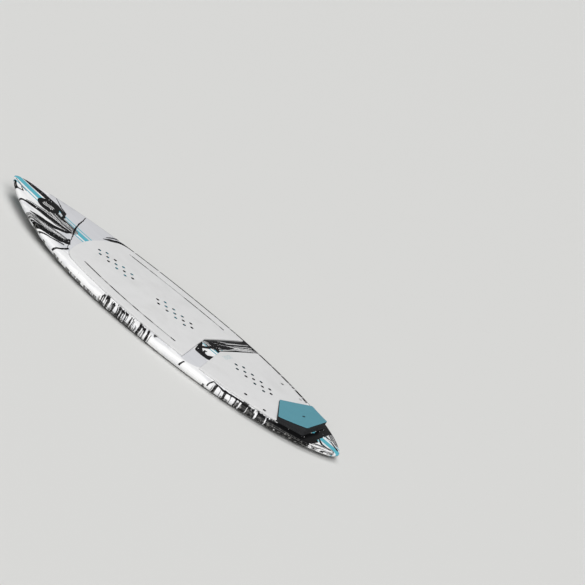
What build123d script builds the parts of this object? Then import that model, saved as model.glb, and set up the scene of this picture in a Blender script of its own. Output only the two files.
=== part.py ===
from build123d import *
import os

# A surf-style wake board lying on its bottom.
# +X runs to the nose, +Y to the port rail, +Z up through the deck.
# x = 0 is the middle of the length and z = 0 is the lowest point of the bottom.

# Outline and profile of the finished board
board_length = 1500.0
board_width = 520.0
board_thickness = 38.6
half_length = board_length / 2
tip_reach = half_length + 1.0       # where the outline would close to a point
tail_power, tail_fullness = 2.38, 0.657
nose_power, nose_fullness = 2.27, 0.773
smallest_half_width = 3.0

# Rocker and foil
flat_spot_x = -75.0                 # lowest point of the rocker
nose_lift, tail_lift = 54.6, 14.8
rocker_power = 2.7
foil_power, foil_loss = 2.6, 0.62   # the ends keep 38 % of the thickness
tip_round = 14.0                    # the last stretch of each end, rounded over

# Cross-section
rail_bevel_width = 36.0
rail_height_share = 0.46            # height of the rail apex, and of the laminate seam
crown_share = 0.18                  # deck drop from the axis to the rail, a parabola
skin = 1.6                          # glass laminate, deck and bottom alike
core_end_gap = 26.0                 # solid resin at each tip
tip_height_share = 0.35             # what is left of the depth at the very tip
bevel_share, round_over_share = 0.3, 0.4    # most of the half width that each may take
round_over_depth = 0.55             # deck rail radius, as a share of the depth
# Bezier handles of the rails, as shares of the depth, the bevel and the round-over
lower_rail_reach, lower_rail_rise, lower_rail_side = 0.45, 0.02, 0.12
upper_rail_side, upper_rail_reach = 0.68, 0.6
station_gap = 8.0                   # stations closer than this to a cut end are left out
seam_steps = 4                      # the seam's points on each half of the board
seam_overrun = 30.0                 # the seam's cutter runs past each end, rising a little more
seam_tail_rise, seam_nose_rise = 4.0, 8.0

# Stations along the board, as shares of the half length
tail_stations = [0.0, 0.2, 0.4, 0.58, 0.72, 0.83, 0.9, 0.947, 0.975, 0.99, 0.997, 1.0]
nose_stations = [0.2, 0.4, 0.56, 0.7, 0.8, 0.875, 0.927, 0.962, 0.983, 0.994, 1.0]

# Traction pads
pad_thickness = 5.0
adhesive = 0.5
pad_inset = 38.0                    # bare rail left outside the pads
slab_share = 0.93                   # half width of the slab that the pads are cut from
slab_steps = 6
slab_margin = 15.0                  # how far the slab runs past the pads
front_pad_nose_x, front_pad_shoulder_x = 390.0, 352.0
front_pad_corner = 55.0
front_notch_x, front_notch_corner_x = -150.0, -193.0
rear_apex_x, rear_corner_x = -219.0, -262.0
rear_pad_end_x, rear_pad_end_half = -638.0, 80.0
drain_hole = 6.0                    # radius
drain_pitch, drain_side = 39.1, 22.9
drain_group_fronts = [339.0, 66.5]
rear_group_front = -290.0
drain_columns = 5
lone_hole_x, lone_hole_y = [-417.0, -500.0], 134.0
front_side_points, rear_side_points = 7, 5
rear_side_end = 15.0                # the rear pad's side curve stops this far ahead of the kick
pad_rim = 3.0                       # pad showing outside the kick at its wide corners
groove_width = 6.0
groove_points = [(300.0, 150.0), (90.0, 170.0), (-129.0, 171.0)]

# Kick at the tail
kick_apex_x, kick_side_x, kick_rear_x = -482.0, -549.0, -636.0
kick_side_half, kick_rear_half = 128.0, 76.0
kick_ramp_x = [-470.0, -549.0, -650.0]
kick_ramp_rise = [0.8, 6.0, 21.5]   # block height on the axis at those places
kick_sheet = 4.0
kick_corner = 7.0

# Stringer and fin hardware
stringer_thickness = 3.0
fin_box_length, fin_box_width, flange_depth = 118.0, 28.0, 3.0
fin_well_length, fin_well_width, fin_well_depth = 106.0, 22.0, 15.0
fin_slot_length, fin_slot_width, fin_slot_depth = 92.0, 7.0, 12.5
fin_box_recess = 0.15
side_fin_x, side_fin_y, centre_fin_x = -592.0, 88.0, -638.0
insert_length, insert_width = 146.0, 44.0
grub_radius, grub_length, grub_key = 2.5, 5.0, 1.25
grub_lean, grub_offset, grub_along = 35.0, 10.0, 26.0
grub_recess = 0.8
cutter_over = 1.0                   # how far a cutter starts outside the face it cuts
pocket_over, grub_over = 4.0, 4.0


# ---------- the shape of the board as formulas ----------

def share(x):
    return min(abs(x) / tip_reach, 1.0)


def half_width(x):
    power, fullness = (nose_power, nose_fullness) if x > 0 else (tail_power, tail_fullness)
    outline = board_width / 2 * (1 - share(x) ** power) ** fullness
    return max(outline, smallest_half_width)


def tip_scale(x):
    left = half_length - abs(x)
    if left >= tip_round:
        return 1.0
    along = (tip_round - left) / tip_round
    return tip_height_share + (1 - tip_height_share) * (1 - along ** 2) ** 0.5


def full_thickness(x):
    return board_thickness * (1 - foil_loss * min(abs(x) / half_length, 1) ** foil_power)


def board_depth(x):
    return full_thickness(x) * tip_scale(x)


def bottom_z(x):
    reach = half_length - flat_spot_x if x > flat_spot_x else half_length + flat_spot_x
    lift = nose_lift if x > flat_spot_x else tail_lift
    rocker = lift * (abs(x - flat_spot_x) / reach) ** rocker_power
    return rocker + (full_thickness(x) - board_depth(x)) / 2


def deck_z(x, y=0.0):
    crown = 1 - crown_share * (y / half_width(x)) ** 2
    return bottom_z(x) + board_depth(x) * crown


def seam_z(x):
    return bottom_z(x) + rail_height_share * board_depth(x)


def stations(end_gap=0.0):
    tail = [-s * half_length for s in reversed(tail_stations)]
    nose = [s * half_length for s in nose_stations]
    limit = half_length - end_gap
    kept = [x for x in tail + nose if abs(x) < limit - station_gap]
    return [-limit] + kept + [limit]


# ---------- lofted masters ----------

def board_section(x, inset):
    """One closed cross-section: flat bottom, bevelled and rounded rails, crowned deck."""
    wide = half_width(x) - inset
    deep = board_depth(x) - 2 * inset
    low = bottom_z(x) + inset
    bevel = min(rail_bevel_width, bevel_share * wide)
    round_over = min(round_over_depth * deep, round_over_share * wide)
    bottom_edge = (wide - bevel, low)
    apex = (wide, low + rail_height_share * deep)
    shoulder_y = wide - round_over
    drop = crown_share * deep * (shoulder_y / wide) ** 2
    shoulder = (shoulder_y, low + deep - drop)
    slope = 2 * drop / shoulder_y
    handle = upper_rail_reach * round_over
    lower_rail = [
        bottom_edge,
        (wide - lower_rail_reach * bevel, low + lower_rail_rise * deep),
        (wide, low + lower_rail_side * deep),
        apex,
    ]
    upper_rail = [
        apex,
        (wide, low + upper_rail_side * deep),
        (shoulder_y + handle, shoulder[1] - handle * slope),
        shoulder,
    ]
    deck = [shoulder, (0, low + deep + drop), (-shoulder_y, shoulder[1])]
    with BuildSketch(Plane.YZ.offset(x)) as section:
        with BuildLine():
            Line((-bottom_edge[0], low), bottom_edge)
            Bezier(*lower_rail)
            Bezier(*upper_rail)
            Bezier(*deck)
            Bezier(*[(-y, z) for y, z in reversed(upper_rail)])
            Bezier(*[(-y, z) for y, z in reversed(lower_rail)])
        make_face()
    return section.sketch


def board_solid(inset=0.0, end_gap=0.0):
    with BuildPart() as solid:
        loft([board_section(x, inset) for x in stations(end_gap)])
    return solid.part


def deck_slab_section(x, lift):
    """A slice whose top follows the deck at a height of lift above it."""
    wide = slab_share * half_width(x)
    low = seam_z(x)
    edge_z = deck_z(x, wide) + lift
    middle_z = 2 * (deck_z(x) + lift) - edge_z
    with BuildSketch(Plane.YZ.offset(x)) as section:
        with BuildLine():
            Polyline((-wide, edge_z), (-wide, low), (wide, low), (wide, edge_z))
            Bezier((wide, edge_z), (0, middle_z), (-wide, edge_z))
        make_face()
    return section.sketch


def deck_slab(front_x, rear_x, lift):
    step = (front_x - rear_x) / slab_steps
    with BuildPart() as slab:
        loft([deck_slab_section(rear_x + i * step, lift) for i in range(slab_steps + 1)])
    return slab.part


# ---------- pad outlines ----------

def pad_side(front_x, rear_x, count):
    step = (front_x - rear_x) / (count - 1)
    xs = [front_x - i * step for i in range(count)]
    return [(x, half_width(x) - pad_inset) for x in xs]


def mirrored(points):
    return [(x, -y) for x, y in reversed(points)]


def front_pad_outline():
    side = pad_side(front_pad_shoulder_x, front_notch_corner_x, front_side_points)
    other = mirrored(side)
    with BuildSketch() as outline:
        with BuildLine():
            Spline(side)
            Polyline(side[-1], (front_notch_x, 0), other[0])
            Spline(other)
            ThreePointArc(other[-1], (front_pad_nose_x, 0), side[0])
        make_face()
        corners = outline.vertices().group_by(Axis.X)[-1]
        fillet(corners, front_pad_corner)
    return outline.sketch


def rear_pad_outline():
    side = pad_side(rear_corner_x, kick_side_x + rear_side_end, rear_side_points)
    side.append((kick_side_x, kick_side_half + pad_rim))
    other = mirrored(side)
    with BuildSketch() as outline:
        with BuildLine():
            Spline(side)
            Polyline(side[-1], (rear_pad_end_x, rear_pad_end_half),
                     (rear_pad_end_x, -rear_pad_end_half), other[0])
            Spline(other)
            Polyline(other[-1], (rear_apex_x, 0), side[0])
        make_face()
        fillet(outline.vertices().group_by(Axis.X)[0], kick_corner)
    return outline.sketch


def drain_group(front_x):
    """Five holes on the axis and four pairs between them."""
    spots = [(front_x - i * drain_pitch, 0) for i in range(drain_columns)]
    for i in range(drain_columns - 1):
        x = front_x - (i + 0.5) * drain_pitch
        spots += [(x, drain_side), (x, -drain_side)]
    return spots


def front_pad_cutouts():
    with BuildSketch() as cutouts:
        for front_x in drain_group_fronts:
            with Locations(*drain_group(front_x)):
                Circle(drain_hole)
        for side in (1, -1):
            with BuildLine():
                ThreePointArc(*[(x, side * y) for x, y in groove_points])
            trace(line_width=groove_width)
    return cutouts.sketch


def rear_pad_cutouts():
    lone = [(x, side * lone_hole_y) for x in lone_hole_x for side in (1, -1)]
    with BuildSketch() as cutouts:
        with Locations(*(drain_group(rear_group_front) + lone)):
            Circle(drain_hole)
    return cutouts.sketch


def pad_layer(outline, cutouts, upper, under):
    """The part of the slab `upper` that is inside the outline and above `under`."""
    with BuildPart() as layer:
        add(outline)
        extrude(amount=half_length / 2)
        add(upper, mode=Mode.INTERSECT)
        add(under, mode=Mode.SUBTRACT)
        add(cutouts)
        extrude(amount=half_length / 2, mode=Mode.SUBTRACT)
    return layer.part


# ---------- kick ----------

def kick_outline():
    points = [
        (kick_apex_x, 0),
        (kick_side_x, kick_side_half),
        (kick_rear_x, kick_rear_half),
        (kick_rear_x, -kick_rear_half),
        (kick_side_x, -kick_side_half),
    ]
    with BuildSketch() as outline:
        with BuildLine():
            Polyline(*points, close=True)
        make_face()
        fillet(outline.vertices(), kick_corner)
    return outline.sketch


def ramp_solid(top_rises, low_rises):
    """A ramp across the board between two side-view arcs, given as heights over the deck."""
    top = [(x, deck_z(x) + rise) for x, rise in zip(kick_ramp_x, top_rises)]
    low = [(x, deck_z(x) + rise) for x, rise in zip(kick_ramp_x, low_rises)]
    with BuildPart() as ramp:
        with BuildSketch(Plane.XZ):
            with BuildLine():
                ThreePointArc(*top)
                Line(top[-1], low[-1])
                ThreePointArc(*reversed(low))
                Line(low[0], top[0])
            make_face()
        extrude(amount=board_width / 2, both=True)
    return ramp.part


def kick_heights(lift):
    return [adhesive + pad_thickness + rise + lift for rise in kick_ramp_rise]


def kick_block_part(pad_top):
    within_pad = [-cutter_over] * 3
    with BuildPart() as block:
        add(kick_outline())
        extrude(amount=board_thickness * 3)
        add(ramp_solid(kick_heights(0.0), within_pad), mode=Mode.INTERSECT)
        add(pad_top, mode=Mode.SUBTRACT)
    return block.part


def kick_top_part():
    with BuildPart() as sheet:
        add(kick_outline())
        extrude(amount=board_thickness * 3)
        add(ramp_solid(kick_heights(kick_sheet), kick_heights(0.0)), mode=Mode.INTERSECT)
    return sheet.part


# ---------- fin hardware ----------

def fin_plane(x, y):
    """Origin just inside the bottom face, local x along the board, local z down and out."""
    rise = bottom_z(x + 1) - bottom_z(x - 1)
    along = Vector(2, 0, rise)
    outward = Vector(rise, 0, -2)
    return Plane(origin=(x, y, bottom_z(x) + fin_box_recess), x_dir=along, z_dir=outward)


def slot_prism(plane, length, wide, inward, outward=0.0):
    with BuildPart() as prism:
        with BuildSketch(plane.offset(outward)):
            SlotOverall(length, wide)
        extrude(amount=-(inward + outward))
    return prism.part


def grub_planes(plane):
    """Two grub screws beside the slot, leaning in to clamp the fin's base."""
    planes = []
    for along in (-grub_along, grub_along):
        centre = plane.from_local_coords(Vector(along, grub_offset, 0))
        lean = plane.z_dir.rotate(Axis((0, 0, 0), plane.x_dir), -grub_lean)
        planes.append(Plane(origin=centre, x_dir=plane.x_dir, z_dir=lean))
    return planes


def fin_box_envelope(plane, outward=0.0):
    with BuildPart() as envelope:
        add(slot_prism(plane, fin_box_length, fin_box_width, flange_depth, outward))
        add(slot_prism(plane, fin_well_length, fin_well_width, fin_well_depth))
    return envelope.part


def fin_box_part(plane):
    with BuildPart() as box:
        add(fin_box_envelope(plane))
        slot = slot_prism(plane, fin_slot_length, fin_slot_width, fin_slot_depth, cutter_over)
        add(slot, mode=Mode.SUBTRACT)
        for grub in grub_planes(plane):
            with BuildSketch(grub.offset(grub_over)):
                Circle(grub_radius)
            extrude(amount=-(grub_length + grub_recess + grub_over), mode=Mode.SUBTRACT)
    return box.part


def grub_part(grub):
    with BuildPart() as screw:
        with BuildSketch(grub.offset(-grub_recess)):
            Circle(grub_radius)
        extrude(amount=-grub_length)
        with BuildSketch(grub.offset(-grub_recess)):
            RegularPolygon(grub_key, 6, major_radius=False)
        extrude(amount=-grub_length / 2, mode=Mode.SUBTRACT)
    return screw.part


# ---------- cuts shared by the core pieces and the skins ----------

def below_seam():
    xs = [(i / seam_steps - 1) * half_length for i in range(2 * seam_steps + 1)]
    seam = [(x, seam_z(x)) for x in xs]
    over = seam_overrun
    line = [(-half_length - over, seam[0][1] + seam_tail_rise)] + seam
    line.append((half_length + over, seam[-1][1] + seam_nose_rise))
    with BuildPart() as block:
        with BuildSketch(Plane.XZ):
            with BuildLine():
                Spline(line)
                Polyline(line[-1], (line[-1][0], -over), (line[0][0], -over), line[0])
            make_face()
        extrude(amount=board_width, both=True)
    return block.part


def slab_between(low_y, high_y):
    with BuildPart() as slab:
        with BuildSketch(Plane.XZ.offset(-low_y)):
            Rectangle(board_length * 1.2, board_length)
        extrude(amount=-(high_y - low_y))
    return slab.part


def insert_prism(x, y):
    with BuildPart() as prism:
        with BuildSketch():
            with Locations((x, y)):
                SlotOverall(insert_length, insert_width)
        extrude(amount=board_thickness * 3, both=True)
    return prism.part


def cut_from(body, keep=None, remove=()):
    with BuildPart() as result:
        add(body)
        if keep is not None:
            add(keep, mode=Mode.INTERSECT)
        for tool in remove:
            add(tool, mode=Mode.SUBTRACT)
    return result.part


# ---------- the pieces ----------

def write(part, name):
    part.label = name
    export_step(part, f"parts/{name}.step")
    print(name, round(part.volume), "mm3", len(part.solids()), "solids")


def main():
    os.makedirs("parts", exist_ok=True)
    hull = board_solid()
    core = board_solid(skin, core_end_gap)

    fins = {
        "port": (side_fin_x, side_fin_y),
        "starboard": (side_fin_x, -side_fin_y),
        "centre": (centre_fin_x, 0.0),
    }
    planes = {side: fin_plane(*place) for side, place in fins.items()}
    pockets = [fin_box_envelope(plane, pocket_over) for plane in planes.values()]
    prisms = [insert_prism(*place) for place in fins.values()]

    shell = cut_from(hull, remove=[core])
    below = below_seam()
    write(cut_from(shell, remove=[below]), "deck_skin")
    write(cut_from(shell, below, pockets), "bottom_skin")

    half = stringer_thickness / 2
    write(cut_from(core, slab_between(half, board_width), prisms), "core_port")
    write(cut_from(core, slab_between(-board_width, -half), prisms), "core_starboard")
    write(cut_from(core, slab_between(-half, half), prisms), "stringer")

    grubs = []
    for side, place in fins.items():
        write(cut_from(core, insert_prism(*place), pockets), f"fin_insert_{side}")
        write(fin_box_part(planes[side]), f"fin_box_{side}")
        grubs += [grub_part(grub) for grub in grub_planes(planes[side])]
    write(Compound(children=grubs), "fin_box_screws")

    pad_span = (front_pad_nose_x + slab_margin, front_notch_corner_x - slab_margin)
    front_film = deck_slab(*pad_span, adhesive)
    front_top = deck_slab(*pad_span, adhesive + pad_thickness)
    outline, cutouts = front_pad_outline(), front_pad_cutouts()
    write(pad_layer(outline, cutouts, front_film, hull), "front_pad_adhesive")
    write(pad_layer(outline, cutouts, front_top, front_film), "front_pad")

    rear_span = (rear_apex_x + slab_margin, rear_pad_end_x - slab_margin)
    rear_film = deck_slab(*rear_span, adhesive)
    rear_top = deck_slab(*rear_span, adhesive + pad_thickness)
    outline, cutouts = rear_pad_outline(), rear_pad_cutouts()
    write(pad_layer(outline, cutouts, rear_film, hull), "rear_pad_adhesive")
    write(pad_layer(outline, cutouts, rear_top, rear_film), "rear_pad")

    write(kick_block_part(rear_top), "kick_block")
    write(kick_top_part(), "kick_top")


main()
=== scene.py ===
import math

import bmesh
import bpy
import numpy as np
from mathutils import Matrix, Vector
from mathutils.geometry import delaunay_2d_cdt


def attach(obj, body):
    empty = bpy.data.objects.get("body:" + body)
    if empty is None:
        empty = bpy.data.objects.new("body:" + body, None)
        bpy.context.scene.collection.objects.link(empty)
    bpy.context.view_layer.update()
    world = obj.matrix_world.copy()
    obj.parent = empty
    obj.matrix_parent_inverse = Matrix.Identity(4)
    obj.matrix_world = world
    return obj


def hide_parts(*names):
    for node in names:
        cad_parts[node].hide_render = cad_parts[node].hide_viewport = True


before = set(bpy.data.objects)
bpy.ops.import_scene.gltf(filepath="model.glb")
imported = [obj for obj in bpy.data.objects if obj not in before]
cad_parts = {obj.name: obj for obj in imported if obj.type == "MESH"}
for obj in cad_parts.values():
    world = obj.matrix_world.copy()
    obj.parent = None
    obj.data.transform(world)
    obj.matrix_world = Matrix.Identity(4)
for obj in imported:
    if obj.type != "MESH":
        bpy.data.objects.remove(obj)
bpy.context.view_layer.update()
print("board loaded:", len(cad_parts), "parts")

mm = 0.001

# The board's own lines, in millimetres: x to the nose, y to the port rail, z up.
board = {
    "width": 520.0,
    "thickness": 38.6,
    "halfLength": 750.0,
    "tipReach": 751.0,
    "nosePower": 2.27, "noseFullness": 0.773,
    "tailPower": 2.38, "tailFullness": 0.657,
    "flatSpot": -75.0,
    "noseLift": 54.6, "tailLift": 14.8, "rockerPower": 2.7,
    "foilPower": 2.6, "foilLoss": 0.62,
    "crown": 0.18,
}


def halfWidth(x):
    share = min(abs(x) / board["tipReach"], 1.0)
    end = "nose" if x > 0 else "tail"
    return board["width"] / 2 * (1 - share ** board[end + "Power"]) ** board[end + "Fullness"]


def boardDepth(x):
    share = min(abs(x) / board["halfLength"], 1.0)
    return board["thickness"] * (1 - board["foilLoss"] * share ** board["foilPower"])


def bottomAt(x):
    ahead = x > board["flatSpot"]
    reach = board["halfLength"] + (-board["flatSpot"] if ahead else board["flatSpot"])
    lift = board["noseLift"] if ahead else board["tailLift"]
    return lift * (abs(x - board["flatSpot"]) / reach) ** board["rockerPower"]


def deckAt(x, y=0.0):
    return bottomAt(x) + boardDepth(x) * (1 - board["crown"] * (y / halfWidth(x)) ** 2)


# Short ways to place and join shader nodes, which are set out in rows so the graph can be read
nodeRows = {"columns": 12, "across": 190, "down": 260}


def setOut(tree, node):
    row, column = divmod(len(tree.nodes), nodeRows["columns"])
    node.location = (column * nodeRows["across"], -row * nodeRows["down"])


def feed(tree, socket, value):
    if isinstance(value, bpy.types.NodeSocket):
        tree.links.new(value, socket)
    else:
        socket.default_value = value


def addNode(tree, kind, settings=None, **values):
    node = tree.nodes.new(kind)
    setOut(tree, node)
    for name, value in (settings or {}).items():
        setattr(node, name, value)
    for name, value in values.items():
        feed(tree, node.inputs[name.replace("_", " ")], value)
    return node


def mathNode(tree, operation, *values, clamp=False):
    node = addNode(tree, "ShaderNodeMath", {"operation": operation, "use_clamp": clamp})
    for socket, value in zip(node.inputs, values):
        feed(tree, socket, value)
    return node.outputs[0]


def vectorNode(tree, operation, *values, scale=None):
    node = addNode(tree, "ShaderNodeVectorMath", {"operation": operation})
    for socket, value in zip(node.inputs, values):
        feed(tree, socket, value)
    if scale is not None:
        feed(tree, node.inputs["Scale"], scale)
    single = operation in ("DOT_PRODUCT", "DISTANCE", "LENGTH")
    return node.outputs["Value" if single else "Vector"]


def mixColours(tree, amount, under, over, blend="MIX"):
    node = addNode(tree, "ShaderNodeMix", {"data_type": "RGBA", "blend_type": blend})
    feed(tree, node.inputs[0], amount)
    feed(tree, node.inputs[6], under)
    feed(tree, node.inputs[7], over)
    return node.outputs[2]


def softStep(tree, value, low, high):
    node = addNode(tree, "ShaderNodeMapRange", {"interpolation_type": "SMOOTHSTEP"},
                   Value=value, From_Min=low, From_Max=high)
    return node.outputs["Result"]


def insideMask(tree, inside, edge=0.3):
    # soft-edged, of what is above zero; edge is in millimetres
    return softStep(tree, inside, -edge, edge)


def offNode(tree, value, line):
    return mathNode(tree, "ABSOLUTE", mathNode(tree, "SUBTRACT", value, line))


def noiseNode(tree, vector, scale, detail=2.0, roughness=0.5, output="Fac"):
    node = addNode(tree, "ShaderNodeTexNoise", Vector=vector, Scale=scale,
                   Detail=detail, Roughness=roughness)
    return node.outputs[output]


def bumpNode(tree, strength, depth, height, normal=None):
    # depth is in metres
    bump = addNode(tree, "ShaderNodeBump", Strength=strength, Distance=depth, Height=height)
    if normal is not None:
        feed(tree, bump.inputs["Normal"], normal)
    return bump.outputs[0]


def splitNode(tree, vector):
    return addNode(tree, "ShaderNodeSeparateXYZ", Vector=vector).outputs


def joinNode(tree, x=0.0, y=0.0, z=0.0):
    return addNode(tree, "ShaderNodeCombineXYZ", X=x, Y=y, Z=z).outputs[0]


def stretchNode(tree, place, along, across):
    x, y, z = splitNode(tree, place)
    return joinNode(tree, mathNode(tree, "MULTIPLY", x, along),
                    mathNode(tree, "MULTIPLY", y, across), mathNode(tree, "MULTIPLY", z, across))


def screenColour(red, green, blue):
    # a colour as it reads on a screen, 0 to 255, turned into the linear one that nodes take
    parts = [part / 255 for part in (red, green, blue)]
    linear = [part / 12.92 if part <= 0.04045 else ((part + 0.055) / 1.055) ** 2.4 for part in parts]
    return (*linear, 1.0)


socketKinds = {"value": "NodeSocketFloat", "vector": "NodeSocketVector", "colour": "NodeSocketColor"}


def newGroup(name, inputs, outputs):
    group = bpy.data.node_groups.new(name, "ShaderNodeTree")
    for label, (kind, start) in inputs.items():
        socket = group.interface.new_socket(name=label, in_out="INPUT", socket_type=socketKinds[kind])
        if start is not None:
            socket.default_value = start
    for label, kind in outputs.items():
        group.interface.new_socket(name=label, in_out="OUTPUT", socket_type=socketKinds[kind])
    return group, group.nodes.new("NodeGroupInput").outputs, group.nodes.new("NodeGroupOutput").inputs


def placeGroup(tree, group, **values):
    return addNode(tree, "ShaderNodeGroup", {"node_tree": group}, **values).outputs


# Where a point is on the board, in millimetres, and how far in from the outline
def makeBoardPlace():
    group, given, out = newGroup("boardPlace", {"Object": ("vector", None)},
                                 {"Place": "vector", "Plan": "vector", "Inset": "value"})
    place = vectorNode(group, "SCALE", given["Object"], scale=1000.0)
    x, y, z = splitNode(group, place)
    feed(group, out["Place"], place)
    feed(group, out["Plan"], joinNode(group, x, y))
    share = mathNode(group, "DIVIDE", mathNode(group, "ABSOLUTE", x), board["tipReach"], clamp=True)
    widths = []
    for end in ("nose", "tail"):
        closing = mathNode(group, "POWER", share, board[end + "Power"])
        closing = mathNode(group, "SUBTRACT", 1.0, closing)
        closing = mathNode(group, "MAXIMUM", closing, 0.0001)
        widths.append(mathNode(group, "POWER", closing, board[end + "Fullness"]))
    ahead = mathNode(group, "GREATER_THAN", x, 0.0)
    nose = mathNode(group, "MULTIPLY", widths[0], ahead)
    tail = mathNode(group, "MULTIPLY", widths[1], mathNode(group, "SUBTRACT", 1.0, ahead))
    wide = mathNode(group, "MULTIPLY", mathNode(group, "ADD", nose, tail), board["width"] / 2)
    feed(group, out["Inset"], mathNode(group, "SUBTRACT", wide, mathNode(group, "ABSOLUTE", y)))
    return group


# Noise scale per millimetre, and detail, of the two swirls
swirls = {"Broad": (0.011, 1.0), "Fine": (0.07, 2.0)}


# Marbled ink: the place is pulled about by broad and fine swirls before anything is drawn on it
def makeInkSwirl():
    group, given, out = newGroup(
        "inkSwirl",
        {"Plan": ("vector", None), "Broad": ("value", 9.0), "Fine": ("value", 2.5)},
        {"Plan": "vector"})
    moved = given["Plan"]
    for amount, (size, detail) in swirls.items():
        swirl = noiseNode(group, given["Plan"], size, detail, 0.55, "Color")
        swirl = vectorNode(group, "SUBTRACT", swirl, (0.5, 0.5, 0.5))
        swirl = vectorNode(group, "MULTIPLY", swirl, (2.0, 2.0, 0.0))
        moved = vectorNode(group, "ADD", moved, vectorNode(group, "SCALE", swirl, scale=given[amount]))
    feed(group, out["Plan"], moved)
    return group


# Strokes, bands and pools are laid one after another. Each takes the state so far, which is the
# place in x and y and the running answer in z, and hands it on.
def answerOf(tree, state):
    return vectorNode(tree, "DOT_PRODUCT", state, (0.0, 0.0, 1.0))


def takeState(group, state):
    plan = vectorNode(group, "MULTIPLY", state, (1.0, 1.0, 0.0))
    return plan, answerOf(group, state)


def giveState(group, out, plan, answer):
    feed(group, out["State"], vectorNode(group, "ADD", plan, joinNode(group, z=answer)))


runInputs = {"State": ("vector", None), "Start": ("vector", None), "Run": ("vector", None),
             "Along": ("vector", None), "Width": ("value", 5.0), "Growth": ("value", 0.0)}


def nearRun(group, given, plan):
    reach = vectorNode(group, "SUBTRACT", plan, given["Start"])
    share = vectorNode(group, "DOT_PRODUCT", reach, given["Along"])
    share = mathNode(group, "MULTIPLY", share, 1.0, clamp=True)
    gap = vectorNode(group, "DISTANCE", reach, vectorNode(group, "SCALE", given["Run"], scale=share))
    width = mathNode(group, "MULTIPLY_ADD", share, given["Growth"], given["Width"])
    return reach, gap, width


# One straight run of a brush stroke; the answer is how far inside the ink's edge, in millimetres
def makeInkStroke():
    group, given, out = newGroup("inkStroke", runInputs, {"State": "vector"})
    plan, ink = takeState(group, given["State"])
    reach, gap, width = nearRun(group, given, plan)
    inside = mathNode(group, "SUBTRACT", width, gap)
    giveState(group, out, plan, mathNode(group, "MAXIMUM", ink, inside))
    return group


# One run of a combed band; the answer is 0 on its middle line and 1 or -1 at its edges
def makeCombRun():
    group, given, out = newGroup("combRun", {**runInputs, "Side": ("vector", None)}, {"State": "vector"})
    plan, across = takeState(group, given["State"])
    reach, gap, width = nearRun(group, given, plan)
    ratio = mathNode(group, "DIVIDE", gap, width)
    side = mathNode(group, "SIGN", vectorNode(group, "DOT_PRODUCT", reach, given["Side"]))
    nearer = mathNode(group, "LESS_THAN", ratio, mathNode(group, "ABSOLUTE", across))
    change = mathNode(group, "SUBTRACT", mathNode(group, "MULTIPLY", ratio, side), across)
    giveState(group, out, plan, mathNode(group, "MULTIPLY_ADD", change, nearer, across))
    return group


# An oval pool of ink, turned about its middle
def makeInkPool():
    group, given, out = newGroup(
        "inkPool",
        {"State": ("vector", None), "Middle": ("vector", None), "LongWay": ("vector", None),
         "CrossWay": ("vector", None), "Size": ("value", 10.0)},
        {"State": "vector"})
    plan, ink = takeState(group, given["State"])
    reach = vectorNode(group, "SUBTRACT", plan, given["Middle"])
    long = vectorNode(group, "DOT_PRODUCT", reach, given["LongWay"])
    cross = vectorNode(group, "DOT_PRODUCT", reach, given["CrossWay"])
    rounded = vectorNode(group, "LENGTH", joinNode(group, long, cross))
    inside = mathNode(group, "MULTIPLY", mathNode(group, "SUBTRACT", 1.0, rounded), given["Size"])
    giveState(group, out, plan, mathNode(group, "MAXIMUM", ink, inside))
    return group


combing = {"slow": 0.0045, "edge": 0.02, "rim": 0.03, "greyShift": 31.0, "greyScale": 1.4,
           "greyRange": (0.46, 0.6)}


def darkPart(group, thread, darkness):
    # the part of a noise that is ink: more of it where darkness is more
    cut = mathNode(group, "SUBTRACT", 1.0, darkness)
    low = mathNode(group, "SUBTRACT", cut, combing["edge"])
    return softStep(group, thread, low, mathNode(group, "ADD", cut, combing["edge"]))


# Lines drawn out by the comb: how black they are, and a second tone for the grey between them
def makeCombLines():
    group, given, out = newGroup(
        "combLines",
        {"Across": ("value", 0.0), "Plan": ("vector", None), "Lines": ("value", 8.0),
         "Darkness": ("value", 0.5)},
        {"Black": "value", "Grey": "value", "Inside": "value"})
    x, y, z = splitNode(group, given["Plan"])
    slowX, slowY = (mathNode(group, "MULTIPLY", way, combing["slow"]) for way in (x, y))
    comb = mathNode(group, "MULTIPLY", given["Across"], given["Lines"])
    thread = noiseNode(group, joinNode(group, comb, slowX, slowY), 1.0, 2.5, 0.72)
    feed(group, out["Black"], darkPart(group, thread, given["Darkness"]))
    shifted = joinNode(group, mathNode(group, "ADD", comb, combing["greyShift"]), slowX, slowY)
    grey = noiseNode(group, shifted, combing["greyScale"], 2.0, 0.6)
    feed(group, out["Grey"], softStep(group, grey, *combing["greyRange"]))
    edge = mathNode(group, "SUBTRACT", 1.0, mathNode(group, "ABSOLUTE", given["Across"]))
    feed(group, out["Inside"], softStep(group, edge, 0.0, combing["rim"]))
    return group


teethShape = {"lean": -0.45, "fade": 9.0, "unevenScale": 0.8, "least": 0.2, "more": 1.6, "edge": 0.6,
              "ends": (-2.0, 6.0)}


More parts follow.
